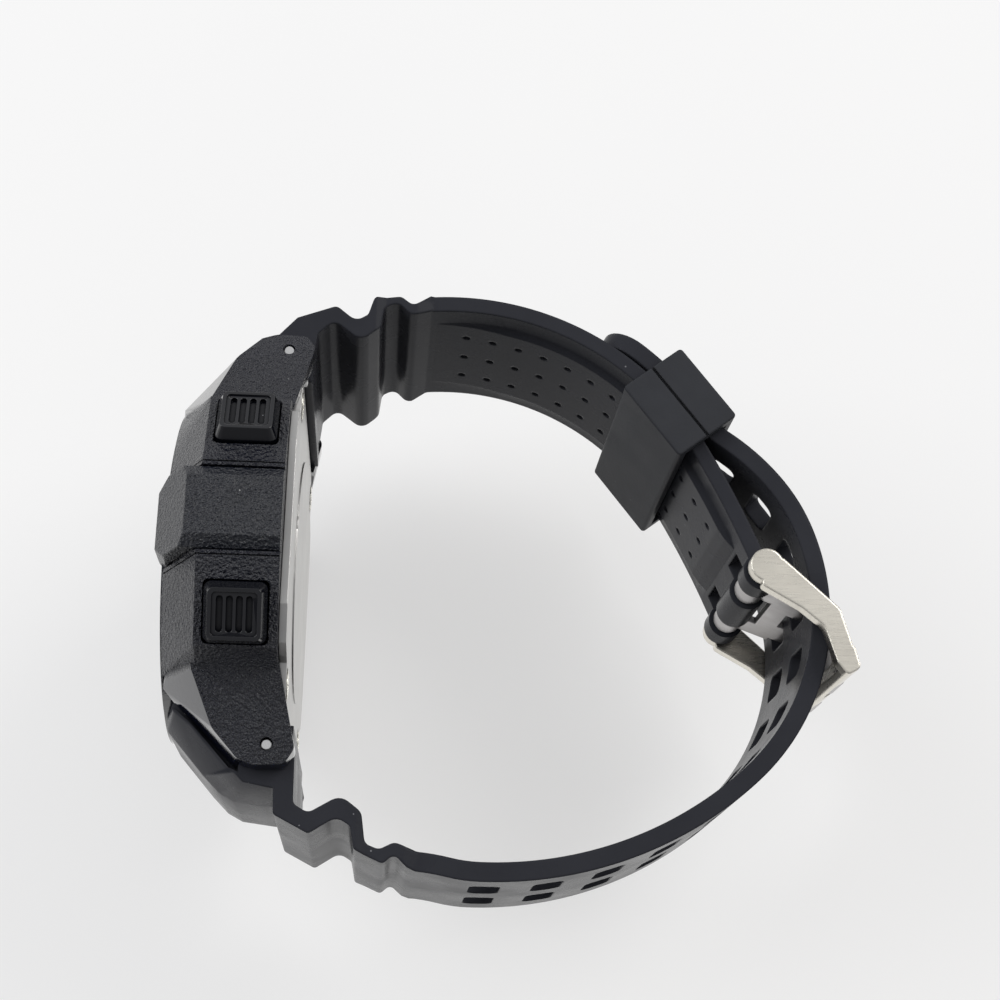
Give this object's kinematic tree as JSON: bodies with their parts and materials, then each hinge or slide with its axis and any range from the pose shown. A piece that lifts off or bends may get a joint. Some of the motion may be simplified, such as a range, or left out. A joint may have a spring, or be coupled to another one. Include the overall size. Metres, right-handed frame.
{
  "type": "digital sports watch",
  "caption": "Black resin digital sports watch with a faceted case, side buttons and a slotted strap buckled into a closed loop.",
  "frame": {"origin": "under the middle of the closed watch, on the plane of its nine o'clock wing face", "axes": "+X from the display towards the wrist and the buckle, +Y towards twelve o'clock, +Z towards three o'clock"},
  "size_m": [0.0672, 0.0592, 0.048],
  "materials": {
    "case_resin": "fine grained black resin",
    "bezel_resin": "fine grained black resin",
    "button_resin": "smooth black resin",
    "strap_resin": "smooth matt black urethane",
    "keeper_resin": "smooth matt black urethane",
    "mineral_glass": "clear polished",
    "mask_film": "printed black film",
    "lcd_glass": "grey green liquid crystal panel",
    "light_film": "pale light guide",
    "zebra_rubber": "layered conductive rubber",
    "module_resin": "white moulded resin",
    "board": "green solder mask",
    "chip_resin": "black potting",
    "cell_steel": "bright nickel plated",
    "spring_steel": "drawn spring wire",
    "stamped_steel": "stamped sheet",
    "screw_steel": "turned",
    "contact_brass": "gold plated spring contact",
    "buzzer_brass": "brass disc",
    "gasket_rubber": "black nitrile rubber",
    "back_steel": "brushed stainless steel",
    "bar_steel": "turned stainless steel",
    "buckle_steel": "brushed stainless steel"
  },
  "bodies": {
    "watch_head": {"case_body": "case_resin", "bezel": "bezel_resin", "crystal": "mineral_glass", "crystal_gasket": "gasket_rubber", "dial_mask": "mask_film", "lcd_panel": "lcd_glass", "backlight_panel": "light_film", "lcd_connectors": "zebra_rubber", "module_frame": "module_resin", "circuit_board": "board", "ic_chip": "chip_resin", "quartz_crystal": "cell_steel", "battery": "cell_steel", "battery_clip": "stamped_steel", "module_screws": "screw_steel", "contact_springs": "contact_brass", "buzzer_spring": "spring_steel", "buzzer_disc": "buzzer_brass", "back_gasket": "gasket_rubber", "case_back": "back_steel", "case_back_screws": "screw_steel", "pusher_gaskets": "gasket_rubber", "upper_bar_tube": "bar_steel", "lower_bar_tube": "bar_steel", "upper_bar_coil": "spring_steel", "lower_bar_coil": "spring_steel", "pusher_2_spring": "spring_steel", "pusher_4_spring": "spring_steel", "pusher_8_spring": "spring_steel", "pusher_10_spring": "spring_steel"},
    "upper_bar_tip": {"upper_bar_tip": "bar_steel"},
    "lower_bar_tip": {"lower_bar_tip": "bar_steel"},
    "buckle_strap": {"strap_upper": "strap_resin", "buckle_bar": "bar_steel"},
    "hole_strap": {"strap_lower": "strap_resin"},
    "keeper": {"keeper": "keeper_resin"},
    "buckle": {"buckle_frame": "buckle_steel"},
    "prongs": {"buckle_prongs": "buckle_steel"},
    "pusher_2": {"pusher_2_cap": "button_resin", "pusher_2_stem": "bar_steel", "pusher_2_clip": "stamped_steel"},
    "pusher_4": {"pusher_4_cap": "button_resin", "pusher_4_stem": "bar_steel", "pusher_4_clip": "stamped_steel"},
    "pusher_8": {"pusher_8_cap": "button_resin", "pusher_8_stem": "bar_steel", "pusher_8_clip": "stamped_steel"},
    "pusher_10": {"pusher_10_cap": "button_resin", "pusher_10_stem": "bar_steel", "pusher_10_clip": "stamped_steel"}
  },
  "joints": [
    {"name": "pusher_2_press", "type": "slide", "parent": "watch_head", "child": "pusher_2", "axis": [0, -0.3987, -0.9171], "range_m": [0, 0.001], "stiffness_N_per_m": 800, "springref_m": -0.001, "deforming": ["pusher_2_spring"]},
    {"name": "pusher_4_press", "type": "slide", "parent": "watch_head", "child": "pusher_4", "axis": [0, 0.3987, -0.9171], "range_m": [0, 0.001], "stiffness_N_per_m": 800, "springref_m": -0.001, "deforming": ["pusher_4_spring"]},
    {"name": "pusher_8_press", "type": "slide", "parent": "watch_head", "child": "pusher_8", "axis": [0, 0.3987, 0.9171], "range_m": [0, 0.001], "stiffness_N_per_m": 800, "springref_m": -0.001, "deforming": ["pusher_8_spring"]},
    {"name": "pusher_10_press", "type": "slide", "parent": "watch_head", "child": "pusher_10", "axis": [0, -0.3987, 0.9171], "range_m": [0, 0.001], "stiffness_N_per_m": 800, "springref_m": -0.001, "deforming": ["pusher_10_spring"]},
    {"name": "upper_bar_tip_press", "type": "slide", "parent": "watch_head", "child": "upper_bar_tip", "axis": [0, 0, -1], "range_m": [0, 0.00195], "stiffness_N_per_m": 900, "springref_m": -0.001, "deforming": ["upper_bar_coil"]},
    {"name": "lower_bar_tip_press", "type": "slide", "parent": "watch_head", "child": "lower_bar_tip", "axis": [0, 0, -1], "range_m": [0, 0.00195], "stiffness_N_per_m": 900, "springref_m": -0.001, "deforming": ["lower_bar_coil"]},
    {"name": "buckle_strap_swing", "type": "hinge", "parent": "watch_head", "child": "buckle_strap", "pos_m": [-0.02259, 0.02128, 0.024], "axis": [0, 0, 1], "range_deg": [-0.3, 0.3], "stiffness_Nm_per_rad": 0.05},
    {"name": "hole_strap_swing", "type": "hinge", "parent": "watch_head", "child": "hole_strap", "pos_m": [-0.02259, -0.01812, 0.024], "axis": [0, 0, 1], "range_deg": [-0.3, 0.3], "stiffness_Nm_per_rad": 0.05},
    {"name": "keeper_slide", "type": "hinge", "parent": "buckle_strap", "child": "keeper", "pos_m": [-0.00568, 0.00105, 0.024], "axis": [0, 0, 1], "range_deg": [0, 15]},
    {"name": "buckle_hinge", "type": "hinge", "parent": "buckle_strap", "child": "buckle", "pos_m": [0.02491, 0.00123, 0.024], "axis": [0, 0, 1], "range_deg": [-5, 0]},
    {"name": "prong_hinge", "type": "hinge", "parent": "buckle_strap", "child": "prongs", "pos_m": [0.02491, 0.00123, 0.024], "axis": [0, 0, 1], "range_deg": [0, 6.5]}
  ],
  "couplings": [
    {"joint": "hole_strap_swing", "follows": "buckle_strap_swing", "ratio": 1}
  ]
}
